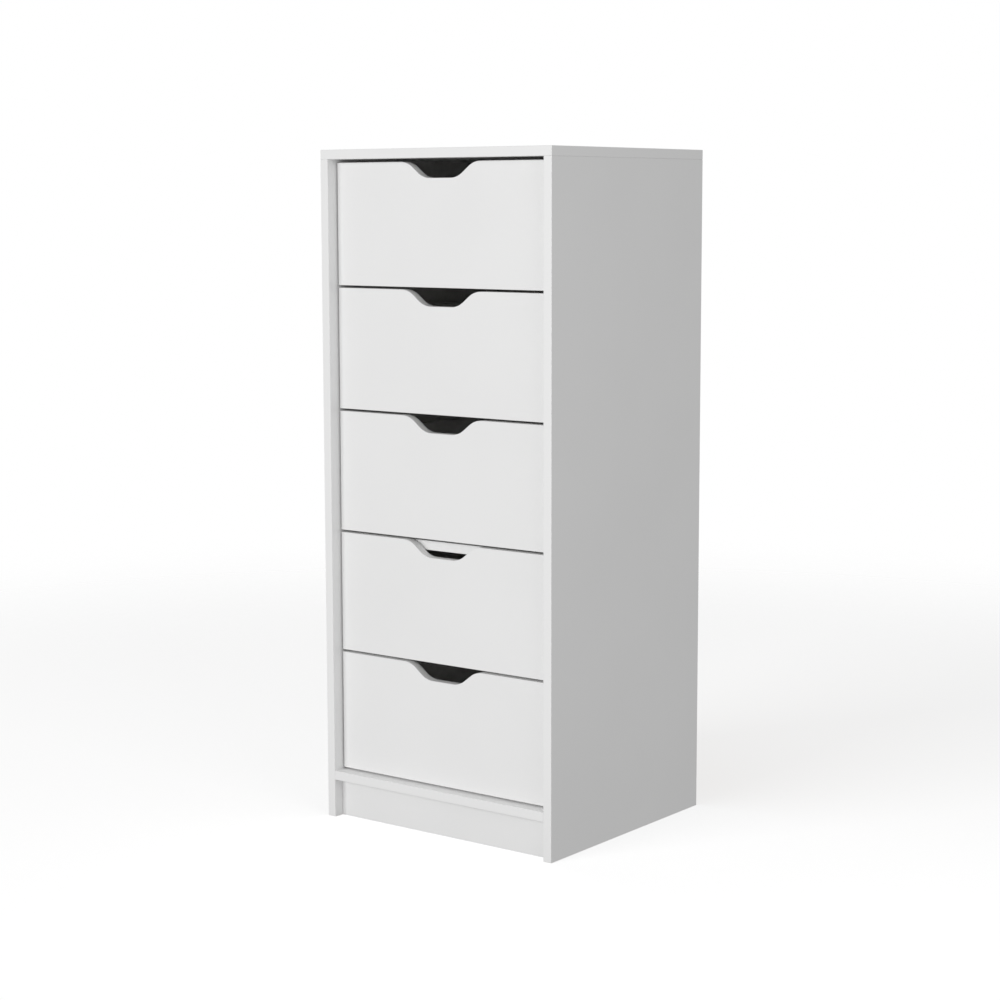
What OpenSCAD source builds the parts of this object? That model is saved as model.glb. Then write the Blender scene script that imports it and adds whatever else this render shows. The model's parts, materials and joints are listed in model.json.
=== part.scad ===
// Tall chest of drawers: a board carcase with inset drawers that run on roller runners.
// X points right, Y points to the back and Z up. The origin is on the floor, under the
// middle of the chest. Lengths are in millimetres.

/* [Carcase] */
// Overall width
case_w = 450; // [420:10:600]
// Overall depth
case_d = 413; // [410:1:450]
// Overall height
case_h = 1078; // [1060:1:1200]
// Thickness of the carcase boards and of the drawer fronts
board = 15; // [15:1:18]
// Height of the kick board, which is also the height of the bottom panel's underside
kick_h = 62; // [55:1:80]
// How far the kick board stands behind the front edges
kick_recess = 18; // [10:1:30]
// Thickness of the hardboard back panel
back_t = 3; // [3:0.5:4]
// Width of the rebates in the sides that the back panel lies in
rebate_w = 8; // [6:0.5:9]
// Depth of the cross rail that ties the sides together
rail_d = 70; // [60:5:100]
// How far the cross rail's top lies below the top of the drawer front before it
rail_drop = 1.4; // [0:0.2:4]
// Space between the rear faces of the drawer fronts and the cross rail
rail_gap = 3; // [2:0.5:6]

/* [Drawers] */
// Number of drawers
drawer_count = 5; // [4:1:5]
// Which drawer front, counted from the top, hides the cross rail
rail_drawer = 4; // [2:1:4]
// How far the drawer fronts stand behind the front edges of the carcase
front_recess = 20; // [15:1:25]
// Gap at each side of a drawer front
side_gap = 2.5; // [2:0.5:4]
// Gap above the top drawer front
top_gap = 5; // [3:0.5:6]
// Gap between neighbouring drawer fronts
front_gap = 4; // [3:0.5:5]
// Gap under the lowest drawer front
bottom_gap = 3; // [3:0.5:6]
// Thickness of the drawer sides and backs
box_t = 12; // [12:1:13]
// Depth of the drawer box behind its front
box_d = 350; // [350:1:355]
// How far the drawer box starts above the lower edge of its front
box_rise = 13; // [13:1:18]
// How far the drawer sides stop below the upper edge of their front
box_drop = 34.2; // [30:0.2:40]
// Thickness of the hardboard drawer bottoms
bottom_t = 3; // [3:0.1:3.1]
// Height of the drawer bottom above the lower edge of the drawer sides
bottom_rise = 10; // [8:1:12]

/* [Finger cut-outs] */
// Width between the sharp upper corners, before rounding
cut_top_w = 130; // [115:1:140]
// Width between the sharp lower corners, before rounding
cut_floor_w = 66; // [50:1:80]
// Depth below the upper edge of the front
cut_depth = 25; // [22:1:28]
// Radius of all four corners
cut_r = 38; // [15:1:42]

/* [Runners] */
// Space between a carcase side and a drawer side
runner_gap = 12.7; // [12.6:0.1:13]
// How far a drawer pulls out
travel = 260; // [200:5:265]
// Thickness of the runner sheet
sheet = 1.2; // [1:0.1:1.3]
// Diameter of the roller on the front end of a carcase runner
front_roller_d = 19.4; // [19:0.1:19.4]
// Diameter of the roller on the rear end of a drawer runner
rear_roller_d = 18; // [17.5:0.1:18]
// Width of a roller
roller_w = 6.4; // [5:0.1:6.4]
// Diameter of the rivet that a roller turns on
rivet_d = 4; // [3:0.5:5]

/* [Fittings] */
// Diameter of the beech dowels
dowel_d = 8; // [6:1:8]
// Diameter of the runner screws
screw_d = 3.5; // [3:0.5:4]
// Diameter of the nails
nail_d = 1.8; // [1.6:0.1:2]

/* [Hidden] */
$fn = 48;
over = 1;              // how far a cutter runs past the face that it opens
fit = 0.05;            // radial clearance round a rivet, dowel, bolt, screw or nail
arc_steps = 12;        // straight steps in each rounded corner of the finger cut-outs

inner_x = case_w / 2 - board;                   // inner face of the right side
front_y = -case_d / 2;                          // front edges of the carcase
back_panel_y = case_d / 2 - back_t;             // inner face of the back panel
back_slack = 0.5;                               // play of the back panel in each rebate
top_z = case_h - board;                         // underside of the top panel
floor_z = kick_h + board;                       // upper face of the bottom panel

front_face_y = front_y + front_recess;          // outer face of the drawer fronts
box_front_y = front_face_y + board;             // rear face of the drawer fronts
box_back_y = box_front_y + box_d;
front_w = case_w - 2 * board - 2 * side_gap;
front_h = (top_z - floor_z - top_gap - bottom_gap - (drawer_count - 1) * front_gap) / drawer_count;
box_h = front_h - box_rise - box_drop;
box_x = inner_x - runner_gap;                   // outer face of the right drawer side
function front_bottom(n) = top_z - top_gap - n * front_h - (n - 1) * front_gap;

rail_top_z = front_bottom(rail_drawer) + front_h - rail_drop;
rail_y = box_front_y + rail_gap;

// The drawer bottom slides in grooves and passes under the drawer back.
groove_d = 6;                                   // groove in the drawer sides
front_groove_d = 5;                             // groove in the drawer front
groove_h = bottom_t + 0.2;
bottom_slack = 0.5;

// Runner section. Heights are above the runner's own base line, which is 'seat' below the
// drawer box, and 'u' is measured from the carcase side's inner face towards the middle.
seat = 11.2;
track_z = 7.2;                                  // upper face of the carcase runner's track
channel_h = 18.8;                               // clear height between track and upper flange
front_roller_z = 18;
rear_roller_z = 16.6;
lip_z = 28;                                     // underside of the drawer runner's lip
flange_w = 10;                                  // reach of the carcase runner's flanges
flange_setback = 26;                            // the upper flange starts this far behind the front end
stop_u = 3;                                     // where the stop tabs start
lip_u = 2.6;                                    // where the drawer runner's lip ends
shoulder = 1.2;                                 // spacer between the sheet and a roller
roller_play = 0.2;                              // side play at each face of a roller
rivet_head_t = 0.8;
rivet_head_d = rivet_d + 2.4;
runner_y = box_front_y + 3.5;                   // front end of a carcase runner
runner_l = 350;
drawer_runner_y = box_front_y + 1;              // front end of a drawer runner
front_roller_y = runner_y + 12;
rear_roller_y = box_back_y - 13;
stop_h = 4;                                     // height of the bent stop tabs on the track
stop_reach = sqrt(pow(rear_roller_d / 2, 2) - pow(rear_roller_z - track_z - stop_h, 2)) + 0.5;
screw_l = 12;
box_screw_l = 10;                               // shorter, to stay below the drawer bottom's groove
screw_head_d = 7;
screw_head_t = 1.2;
runner_screw_ys = [runner_y + 35, runner_y + 175, runner_y + 325];
drawer_runner_screw_ys = [box_front_y + 32, box_front_y + 190, box_back_y - 45];

// Fittings. A cam fitting is [cam diameter, cam height, reach of the bolt, bolt head diameter].
case_cam = [14.8, 12, 34, 6.6];
box_cam = [11.8, 9.8, 24, 5.6];
bolt_thread_d = 6;
bolt_thread_l = 11;
bolt_bore_d = 8;
dowel_face_l = 10;                              // part of a dowel in the face of a board
dowel_edge_l = 20;                              // part of a dowel in the edge of a board
end_cam_ys = [-150, 145];                       // cam fittings along the ends of wide boards
end_dowel_ys = [-112, 107];
kick_cam_z = kick_h / 2;
kick_dowel_zs = [kick_h / 2 - 17, kick_h / 2 + 17];
rail_cam_y = rail_y + rail_d / 2;
rail_dowel_ys = [rail_y + 14, rail_y + rail_d - 14];
kick_mid_y = front_y + kick_recess + board / 2;
box_cam_zs = [36, box_h - 29];
back_screw_zs = [38, box_h - 35];
back_screw_l = 40;
back_screw_d = 4;
back_screw_head_d = 8;
back_screw_head_t = 3;                          // height of the countersunk head
nail_l = 20;
nail_head_d = 4.6;
nail_head_t = 0.8;
side_nails = 8;
nail_margin = 40;                               // from the outer side nails to the back panel's ends
bottom_nail_xs = [-140, 0, 140];

white_board = [0.93, 0.93, 0.92];
white_hardboard = [0.90, 0.90, 0.88];
white_epoxy = [0.88, 0.88, 0.87];
white_nylon = [0.82, 0.82, 0.80];
zinc = [0.72, 0.73, 0.74];
beech = [0.80, 0.66, 0.48];

DRAWER_NODES = ["front", "left_side", "right_side", "back", "bottom",
    "runners", "front_rollers", "rear_rollers", "fasteners"];

// ---- placing ----

module mirror_pair() {
    for (flip = [0, 1]) mirror([flip, 0, 0]) children();
}

module at_drawer(n) {
    translate([0, 0, front_bottom(n)]) children();
}

// A block given by its lowest and highest corners.
module block(low, high) {
    translate(low) cube(high - low);
}

// A cylinder of length l from a point, along +Z of the current frame.
module rod(d, l) {
    cylinder(h = l, d = d);
}

// Joint frames: Z runs into the board that takes the thread, X towards the cam's open face,
// and the origin is where the bolt or dowel crosses the joint.
module at_top_joint(ys) {
    for (y = ys) translate([case_w / 2 - board / 2, y, top_z]) rotate([0, 0, 180]) children();
}

module at_shelf_joint(ys, mid_z) {
    for (y = ys) translate([inner_x, y, mid_z]) rotate([0, 90, 0]) children();
}

module at_kick_joint(zs) {
    for (z = zs) translate([inner_x, kick_mid_y, z]) rotate([90, 0, 90]) children();
}

module at_box_joint() {
    for (z = box_cam_zs)
        translate([box_x - box_t / 2, box_front_y, box_rise + z]) rotate([90, 0, 0]) children();
}

// ---- fittings and the holes they need ----

module cam_lock(cam, thickness) {
    inset = 0.1;                                // depth of the cam's face below the board's
    axis_z = thickness / 2 - inset;             // depth of the bolt's axis below the cam's face
    hollow_h = cam[3] + 0.6;                    // hollow round the head of the bolt
    neck_w = 4.6;                               // opening that the bolt comes in by
    slot = [8.4, 1.4, 1.6];                     // each slot of the driver's cross
    translate([thickness / 2 - inset, 0, -cam[2]]) rotate([0, -90, 0]) difference() {
        rod(cam[0], cam[1]);
        translate([0, 0, axis_z - hollow_h / 2]) rod(cam[3] + 2.2, hollow_h);
        translate([0, -neck_w / 2, axis_z - neck_w / 2]) cube([cam[0], neck_w, neck_w]);
        for (turn = [45, 135])
            rotate([0, 0, turn]) block([-slot[0] / 2, -slot[1] / 2, -over], [slot[0] / 2, slot[1] / 2, slot[2]]);
    }
}

module cam_bolt(cam) {
    head_t = 3;
    collar_t = 1.5;
    shank_d = 5;                                // between the collar and the cam
    neck_d = 4;                                 // inside the cam
    rod(bolt_thread_d, bolt_thread_l);
    translate([0, 0, -collar_t]) rod(bolt_bore_d - 0.4, collar_t);
    translate([0, 0, -cam[2] + cam[0] / 2]) rod(shank_d, cam[2] - cam[0] / 2);
    translate([0, 0, -cam[2]]) rod(neck_d, cam[0] / 2 + 0.1);
    translate([0, 0, -cam[2] - head_t / 2]) rod(cam[3], head_t);
}

module cam_bore(cam, thickness) {
    translate([thickness / 2 + over, 0, -cam[2]]) rotate([0, -90, 0])
        rod(cam[0] + 0.2, cam[1] + 0.3 + over);
    translate([0, 0, -cam[2]]) rod(bolt_bore_d, cam[2] + over);
}

module bolt_bore() {
    translate([0, 0, -over]) rod(bolt_thread_d + 2 * fit, bolt_thread_l + 0.3 + over);
}

module dowel() {
    translate([0, 0, -dowel_edge_l]) rod(dowel_d, dowel_edge_l + dowel_face_l);
}

module dowel_edge_bore() {
    translate([0, 0, -dowel_edge_l - 0.5]) rod(dowel_d + 2 * fit, dowel_edge_l + 0.5 + over);
}

module dowel_face_bore() {
    translate([0, 0, -over]) rod(dowel_d + 2 * fit, dowel_face_l + 0.5 + over);
}

// A screw whose head rests on the plane Z = 0 and whose shank goes down from there.
module screw(d, l, head_d, head_t) {
    tip = d;
    rod(head_d, head_t);
    translate([0, 0, tip - l]) rod(d, l - tip);
    translate([0, 0, -l]) cylinder(h = tip, d1 = 0.6, d2 = d);
}

module screw_bore(d, l) {
    translate([0, 0, -l - 0.3]) rod(d + 2 * fit, l + 0.3 + over);
}

// A nail whose head lies flush with the plane Z = 0.
module nail() {
    translate([0, 0, -nail_head_t]) rod(nail_head_d, nail_head_t);
    translate([0, 0, -nail_l]) rod(nail_d, nail_l - nail_head_t);
}

module nail_bore() {
    translate([0, 0, -nail_l - 0.3]) rod(nail_d + 2 * fit, nail_l + 0.3 + over);
    translate([0, 0, -nail_head_t]) rod(nail_head_d + 2 * fit, nail_head_t + over);
}

// A screw through the drawer side into the end of the drawer back, head flush with the side.
module at_back_screws() {
    for (z = back_screw_zs)
        translate([box_x, box_back_y - box_t / 2, box_rise + z]) rotate([0, 90, 0]) children();
}

module back_screw() {
    translate([0, 0, -back_screw_head_t])
        cylinder(h = back_screw_head_t, d1 = back_screw_d, d2 = back_screw_head_d);
    translate([0, 0, -back_screw_l]) rod(back_screw_d, back_screw_l - back_screw_head_t);
}

module back_screw_bore() {
    translate([0, 0, -back_screw_head_t])
        cylinder(h = back_screw_head_t, d1 = back_screw_d + 2 * fit, d2 = back_screw_head_d + 2 * fit);
    translate([0, 0, -0.01]) rod(back_screw_head_d + 2 * fit, over);
    translate([0, 0, -back_screw_l - 0.3]) rod(back_screw_d + 2 * fit, back_screw_l);
}

// Nails through the back panel into the sides and the bottom panel.
module at_side_nails() {
    step = (top_z - kick_h - 2 * nail_margin) / (side_nails - 1);
    for (i = [0 : side_nails - 1])
        translate([inner_x + rebate_w / 2, case_d / 2, kick_h + nail_margin + i * step])
            rotate([-90, 0, 0]) children();
}

module at_bottom_panel_nails() {
    for (x = bottom_nail_xs)
        translate([x, case_d / 2, kick_h + board / 2]) rotate([-90, 0, 0]) children();
}

// Nails up through the drawer bottom into the drawer back.
module at_box_nails() {
    for (x = bottom_nail_xs)
        translate([x, box_back_y - box_t / 2, box_rise + bottom_rise]) rotate([180, 0, 0]) children();
}

// Screws that hold the carcase runners of one drawer, on the right side.
module at_runner_screws() {
    for (y = runner_screw_ys)
        translate([inner_x - sheet, y, box_rise - seat + rear_roller_z]) rotate([0, -90, 0]) children();
}

// Screws up through the drawer runner into the lower edge of the right drawer side.
module at_drawer_runner_screws() {
    for (y = drawer_runner_screw_ys)
        translate([box_x - box_t / 2, y, box_rise - sheet]) rotate([180, 0, 0]) children();
}

// ---- carcase ----

module top_panel() {
    color(white_board) difference() {
        block([-case_w / 2, front_y, top_z], [case_w / 2, case_d / 2, case_h]);
        mirror_pair() {
            at_top_joint(end_cam_ys) bolt_bore();
            at_top_joint(end_dowel_ys) dowel_face_bore();
        }
    }
}

module right_side_panel() {
    color(white_board) difference() {
        block([inner_x, front_y, 0], [case_w / 2, case_d / 2, top_z]);
        block([inner_x - over, back_panel_y, -over], [inner_x + rebate_w, case_d / 2 + over, top_z + over]);
        at_top_joint(end_cam_ys) cam_bore(case_cam, board);
        at_top_joint(end_dowel_ys) dowel_edge_bore();
        at_shelf_joint(end_cam_ys, kick_h + board / 2) bolt_bore();
        at_shelf_joint(end_dowel_ys, kick_h + board / 2) dowel_face_bore();
        at_kick_joint([kick_cam_z]) bolt_bore();
        at_kick_joint(kick_dowel_zs) dowel_face_bore();
        at_shelf_joint([rail_cam_y], rail_top_z - board / 2) bolt_bore();
        at_shelf_joint(rail_dowel_ys, rail_top_z - board / 2) dowel_face_bore();
        for (n = [1 : drawer_count]) at_drawer(n) at_runner_screws() screw_bore(screw_d, screw_l);
        at_side_nails() nail_bore();
    }
}

module left_side_panel() {
    mirror([1, 0, 0]) right_side_panel();
}

module bottom_panel() {
    color(white_board) difference() {
        block([-inner_x, front_y, kick_h], [inner_x, back_panel_y, floor_z]);
        mirror_pair() {
            at_shelf_joint(end_cam_ys, kick_h + board / 2) cam_bore(case_cam, board);
            at_shelf_joint(end_dowel_ys, kick_h + board / 2) dowel_edge_bore();
        }
        at_bottom_panel_nails() nail_bore();
    }
}

module kick_board() {
    color(white_board) difference() {
        block([-inner_x, kick_mid_y - board / 2, 0], [inner_x, kick_mid_y + board / 2, kick_h]);
        mirror_pair() {
            at_kick_joint([kick_cam_z]) cam_bore(case_cam, board);
            at_kick_joint(kick_dowel_zs) dowel_edge_bore();
        }
    }
}

module cross_rail() {
    color(white_board) difference() {
        block([-inner_x, rail_y, rail_top_z - board], [inner_x, rail_y + rail_d, rail_top_z]);
        mirror_pair() {
            at_shelf_joint([rail_cam_y], rail_top_z - board / 2) cam_bore(case_cam, board);
            at_shelf_joint(rail_dowel_ys, rail_top_z - board / 2) dowel_edge_bore();
        }
    }
}

module back_panel() {
    edge_x = inner_x + rebate_w - back_slack;
    color(white_hardboard) difference() {
        block([-edge_x, back_panel_y, kick_h], [edge_x, case_d / 2, top_z]);
        mirror_pair() at_side_nails() nail_bore();
        at_bottom_panel_nails() nail_bore();
    }
}

module cam_locks() {
    color(zinc) mirror_pair() {
        at_top_joint(end_cam_ys) cam_lock(case_cam, board);
        at_shelf_joint(end_cam_ys, kick_h + board / 2) cam_lock(case_cam, board);
        at_kick_joint([kick_cam_z]) cam_lock(case_cam, board);
        at_shelf_joint([rail_cam_y], rail_top_z - board / 2) cam_lock(case_cam, board);
    }
}

module cam_bolts() {
    color(zinc) mirror_pair() {
        at_top_joint(end_cam_ys) cam_bolt(case_cam);
        at_shelf_joint(end_cam_ys, kick_h + board / 2) cam_bolt(case_cam);
        at_kick_joint([kick_cam_z]) cam_bolt(case_cam);
        at_shelf_joint([rail_cam_y], rail_top_z - board / 2) cam_bolt(case_cam);
    }
}

module dowels() {
    color(beech) mirror_pair() {
        at_top_joint(end_dowel_ys) dowel();
        at_shelf_joint(end_dowel_ys, kick_h + board / 2) dowel();
        at_kick_joint(kick_dowel_zs) dowel();
        at_shelf_joint(rail_dowel_ys, rail_top_z - board / 2) dowel();
    }
}

module back_panel_nails() {
    color(zinc) {
        mirror_pair() at_side_nails() nail();
        at_bottom_panel_nails() nail();
    }
}

// ---- runners ----

// A strip of runner sheet on the right side: u from the carcase side, z above the base line.
module strip(u, y, z) {
    block([inner_x - u[1], y[0], box_rise - seat + z[0]], [inner_x - u[0], y[1], box_rise - seat + z[1]]);
}

// Puts the children on a roller's axis, with Z pointing away from the carcase side.
module at_roller(u, y, z) {
    translate([inner_x - u, y, box_rise - seat + z]) rotate([0, -90, 0]) children();
}

// A shouldered rivet with a head, for a roller that is held between the two.
module roller_rivet() {
    rod(rivet_head_d, shoulder);
    rod(rivet_d, shoulder + roller_w + 2 * roller_play + rivet_head_t);
    translate([0, 0, shoulder + roller_w + 2 * roller_play]) rod(rivet_head_d, rivet_head_t);
}

module roller(d) {
    chamfer = 0.6;
    rotate_extrude() polygon([
        [rivet_d / 2 + fit, 0],
        [d / 2 - chamfer, 0],
        [d / 2, chamfer],
        [d / 2, roller_w - chamfer],
        [d / 2 - chamfer, roller_w],
        [rivet_d / 2 + fit, roller_w]]);
}

module carcase_runner() {
    back = runner_y + runner_l;
    channel_top = track_z + channel_h;
    open_stop = rear_roller_y - travel - stop_reach;
    shut_stop = rear_roller_y + stop_reach;
    difference() {
        union() {
            strip([0, sheet], [runner_y, back], [track_z - sheet, channel_top + sheet]);
            strip([0, flange_w], [runner_y, back], [track_z - sheet, track_z]);
            strip([0, flange_w], [runner_y + flange_setback, back], [channel_top, channel_top + sheet]);
            strip([stop_u, flange_w], [open_stop - sheet, open_stop], [track_z - sheet, track_z + stop_h]);
            strip([stop_u, flange_w], [shut_stop, shut_stop + sheet], [track_z - sheet, track_z + stop_h]);
            at_roller(sheet, front_roller_y, front_roller_z) roller_rivet();
        }
        at_runner_screws() translate([0, 0, -sheet - over]) rod(screw_d + 2 * fit, sheet + 2 * over);
    }
}

module right_carcase_runners() {
    color(white_epoxy) for (n = [1 : drawer_count]) at_drawer(n) carcase_runner();
}

module left_carcase_runners() {
    mirror([1, 0, 0]) right_carcase_runners();
}

module runner_screws() {
    color(zinc) mirror_pair() for (n = [1 : drawer_count])
        at_drawer(n) at_runner_screws() screw(screw_d, screw_l, screw_head_d, screw_head_t);
}

// ---- one drawer, measured from the lower edge of its front ----

// The finger cut-out's outline. Each upper corner is rounded outwards and each lower corner
// inwards, with the same radius, so that both arcs meet the sloping side without a break.
slope = atan2(cut_depth, (cut_top_w - cut_floor_w) / 2);
tangent = cut_r * tan(slope / 2);
function upper_arc(a) = [cut_top_w / 2 + tangent - cut_r * sin(a), -cut_r * (1 - cos(a))];
function lower_arc(a) = [cut_floor_w / 2 - tangent + cut_r * sin(a), -cut_depth + cut_r * (1 - cos(a))];
function cut_half() = concat(
    [for (i = [0 : arc_steps]) upper_arc(slope * i / arc_steps)],
    [for (i = [arc_steps : -1 : 0]) lower_arc(slope * i / arc_steps)]);

module finger_cut_out() {
    half = cut_half();
    last = len(half) - 1;
    rim = half[0][0];
    polygon(concat(
        [[-rim, over], [rim, over]],
        half,
        [for (i = [last : -1 : 0]) [-half[i][0], half[i][1]]]));
}

module drawer_front() {
    color(white_board) difference() {
        block([-front_w / 2, front_face_y, 0], [front_w / 2, box_front_y, front_h]);
        translate([0, box_front_y + over, front_h]) rotate([90, 0, 0])
            linear_extrude(board + 2 * over) finger_cut_out();
        block([-box_x + groove_d, box_front_y - front_groove_d, box_rise + bottom_rise],
              [box_x - groove_d, box_front_y + over, box_rise + bottom_rise + groove_h]);
        mirror_pair() at_box_joint() bolt_bore();
    }
}

module drawer_right_side() {
    color(white_board) difference() {
        block([box_x - box_t, box_front_y, box_rise], [box_x, box_back_y, box_rise + box_h]);
        block([box_x - box_t - over, box_front_y - over, box_rise + bottom_rise],
              [box_x - box_t + groove_d, box_back_y + over, box_rise + bottom_rise + groove_h]);
        at_box_joint() cam_bore(box_cam, box_t);
        at_back_screws() back_screw_bore();
        at_drawer_runner_screws() screw_bore(screw_d, box_screw_l);
    }
}

module drawer_left_side() {
    mirror([1, 0, 0]) drawer_right_side();
}

module drawer_back() {
    color(white_board) difference() {
        block([-box_x + box_t, box_back_y - box_t, box_rise + bottom_rise + bottom_t],
              [box_x - box_t, box_back_y, box_rise + box_h]);
        mirror_pair() at_back_screws() back_screw_bore();
        at_box_nails() nail_bore();
    }
}

module drawer_bottom() {
    edge_x = box_x - box_t + groove_d - bottom_slack;
    color(white_hardboard) difference() {
        block([-edge_x, box_front_y - front_groove_d + bottom_slack, box_rise + bottom_rise],
              [edge_x, box_back_y, box_rise + bottom_rise + bottom_t]);
        at_box_nails() nail_bore();
    }
}

module drawer_runner() {
    web = runner_gap - sheet;
    foot_w = box_t - 0.5;
    difference() {
        union() {
            strip([web, runner_gap], [drawer_runner_y, box_back_y], [seat - sheet, lip_z + sheet]);
            strip([web, runner_gap + foot_w], [drawer_runner_y, box_back_y],
                  [seat - sheet, seat]);
            strip([lip_u, runner_gap], [drawer_runner_y, box_back_y], [lip_z, lip_z + sheet]);
            at_roller(web, rear_roller_y, rear_roller_z) rotate([180, 0, 0]) roller_rivet();
        }
        at_drawer_runner_screws()
            translate([0, 0, -sheet - over]) rod(screw_d + 2 * fit, sheet + 2 * over);
    }
}

module drawer_runners() {
    color(white_epoxy) mirror_pair() drawer_runner();
}

module drawer_front_rollers() {
    color(white_nylon) mirror_pair()
        at_roller(sheet + shoulder + roller_play, front_roller_y, front_roller_z) roller(front_roller_d);
}

module drawer_rear_rollers() {
    color(white_nylon) mirror_pair()
        at_roller(runner_gap - sheet - shoulder - roller_play - roller_w, rear_roller_y, rear_roller_z)
            roller(rear_roller_d);
}

// Cam fittings, back screws, runner screws and bottom nails of one drawer.
module drawer_fasteners() {
    color(zinc) {
        mirror_pair() {
            at_box_joint() cam_lock(box_cam, box_t);
            at_box_joint() cam_bolt(box_cam);
            at_back_screws() back_screw();
            at_drawer_runner_screws() screw(screw_d, box_screw_l, screw_head_d, screw_head_t);
        }
        at_box_nails() nail();
    }
}

// ---- output ----

top_panel();
left_side_panel();
right_side_panel();
bottom_panel();
kick_board();
cross_rail();
back_panel();
left_carcase_runners();
right_carcase_runners();
cam_locks();
cam_bolts();
dowels();
back_panel_nails();
runner_screws();
for (n = [1 : drawer_count]) {
    at_drawer(n) drawer_front();
    at_drawer(n) drawer_left_side();
    at_drawer(n) drawer_right_side();
    at_drawer(n) drawer_back();
    at_drawer(n) drawer_bottom();
    at_drawer(n) drawer_runners();
    at_drawer(n) drawer_front_rollers();
    at_drawer(n) drawer_rear_rollers();
    at_drawer(n) drawer_fasteners();
}
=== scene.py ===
"""Looks of the tall chest of drawers: its boards, runners, rollers and fixings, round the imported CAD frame.

Lengths in this file are in metres, and sizes in millimetres are written as a number times MM.
X points right, Y to the back and Z up. Side +1 is the right side of the chest and -1 the left side.
"""

import json
import math

import bmesh
import bpy
from mathutils import Matrix, Vector


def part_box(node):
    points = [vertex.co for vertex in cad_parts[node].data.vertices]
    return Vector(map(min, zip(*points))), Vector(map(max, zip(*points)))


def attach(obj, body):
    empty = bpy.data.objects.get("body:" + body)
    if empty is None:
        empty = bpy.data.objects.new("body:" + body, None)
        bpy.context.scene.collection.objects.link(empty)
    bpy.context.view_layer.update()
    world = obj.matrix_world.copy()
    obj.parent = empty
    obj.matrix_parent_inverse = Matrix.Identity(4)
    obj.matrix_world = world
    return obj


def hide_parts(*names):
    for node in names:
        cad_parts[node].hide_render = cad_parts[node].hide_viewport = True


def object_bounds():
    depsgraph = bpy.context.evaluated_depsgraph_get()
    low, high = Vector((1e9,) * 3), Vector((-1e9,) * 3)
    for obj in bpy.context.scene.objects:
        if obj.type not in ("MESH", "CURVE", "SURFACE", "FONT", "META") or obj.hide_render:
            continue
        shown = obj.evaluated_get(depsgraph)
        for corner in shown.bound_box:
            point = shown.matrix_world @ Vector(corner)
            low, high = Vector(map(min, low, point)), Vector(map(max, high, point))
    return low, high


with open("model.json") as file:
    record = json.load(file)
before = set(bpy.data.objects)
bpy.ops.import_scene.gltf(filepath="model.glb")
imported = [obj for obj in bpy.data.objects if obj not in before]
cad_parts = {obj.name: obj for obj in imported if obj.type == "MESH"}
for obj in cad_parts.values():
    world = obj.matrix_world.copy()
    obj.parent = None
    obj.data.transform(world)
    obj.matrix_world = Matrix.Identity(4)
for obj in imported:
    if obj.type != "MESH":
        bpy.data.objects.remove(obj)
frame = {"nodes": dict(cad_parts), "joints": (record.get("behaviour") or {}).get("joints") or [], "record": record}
cad_low, cad_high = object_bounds()

MM = 0.001
NODES = frame["nodes"]
RECORD = frame["record"]
SLOT_OF = {part["node"]: part["material_slot"] for part in RECORD["subparts"]}
BODY_OF = {node: body for body, nodes in RECORD["behaviour"]["bodies"].items() for node in nodes}
DRAWER_COUNT = sum(body.startswith("drawer_") for body in RECORD["behaviour"]["bodies"])
DRAWERS = range(1, DRAWER_COUNT + 1)
SIDES = {"right": 1, "left": -1}

# ---------------------------------------------------------------- camera

CAMERA_AZIMUTH = math.radians(37.18)
CAMERA_ELEVATION = math.radians(7.65)
CAMERA_ROLL = math.radians(-0.12)
CAMERA_DISTANCE = 3.611
CAMERA_TO_RIGHT = -0.0219
CAMERA_UPWARDS = -0.0218
CAMERA_LENS = 80.22             # this and the sensor in millimetres, as Blender's cameras want them
CAMERA_SENSOR = 36.0


def make_camera():
    """A camera that looks at the middle of the chest from its front right, moved a little aside."""
    sin_a, cos_a = math.sin(CAMERA_AZIMUTH), math.cos(CAMERA_AZIMUTH)
    sin_e, cos_e = math.sin(CAMERA_ELEVATION), math.cos(CAMERA_ELEVATION)
    back = Vector((sin_a * cos_e, -cos_a * cos_e, sin_e))
    right = Vector((cos_a, sin_a, 0.0))
    roll = Matrix.Rotation(CAMERA_ROLL, 3, back)
    up = roll @ back.cross(right)
    right = roll @ right
    middle = (cad_low + cad_high) / 2
    place = middle + right * CAMERA_TO_RIGHT + up * CAMERA_UPWARDS + back * CAMERA_DISTANCE
    data = bpy.data.cameras.new("camera")
    data.lens = CAMERA_LENS
    data.sensor_width = CAMERA_SENSOR
    camera = bpy.data.objects.new("camera", data)
    camera.matrix_world = Matrix.Translation(place) @ Matrix((right, up, back)).transposed().to_4x4()
    bpy.context.scene.collection.objects.link(camera)
    bpy.context.scene.camera = camera


# ---------------------------------------------------------------- material graph


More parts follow.
